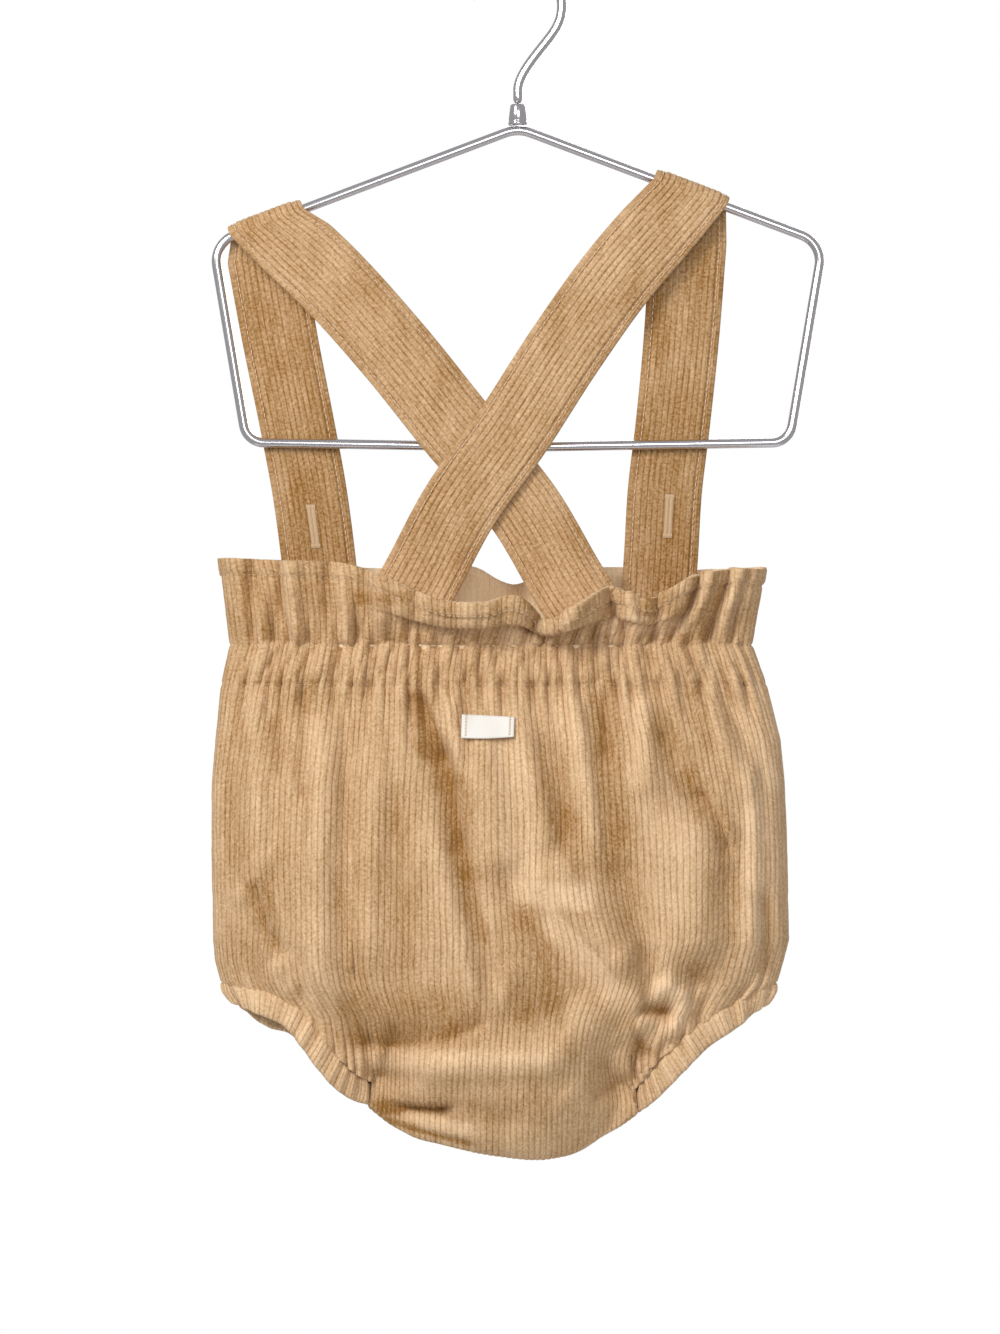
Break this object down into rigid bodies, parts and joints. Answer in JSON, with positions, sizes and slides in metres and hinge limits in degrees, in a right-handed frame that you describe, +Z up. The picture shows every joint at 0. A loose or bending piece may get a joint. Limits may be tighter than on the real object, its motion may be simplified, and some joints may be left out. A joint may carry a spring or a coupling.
{
  "type": "corduroy romper on a wire hanger",
  "caption": "Baby's wide-wale corduroy bloomer romper with a paper-bag waist, gathered leg bands and straps crossed at the back, hung on a bent wire hanger.",
  "frame": {"origin": "the inside top of the hanger's hook, where a rail carries it", "axes": "+Z up; -Y is the way the back of the romper faces, the side the picture shows; +X is to the right in that view"},
  "size_m": [0.2672, 0.0697, 0.5225],
  "materials": {
    "corduroy": "wide-wale cotton corduroy, camel",
    "label_tape": "woven cream tape, plain",
    "button_horn": "brown resin",
    "chrome_wire": "polished wire"
  },
  "bodies": {
    "root": {"back_panel": "corduroy", "front_panel": "corduroy", "leg_band_left": "corduroy", "leg_band_right": "corduroy", "strap_left": "corduroy", "strap_right": "corduroy", "label": "label_tape", "button_left": "button_horn", "button_right": "button_horn", "hanger_frame": "chrome_wire", "hook_collar": "chrome_wire", "hanger_hook": "chrome_wire"}
  },
  "joints": []
}
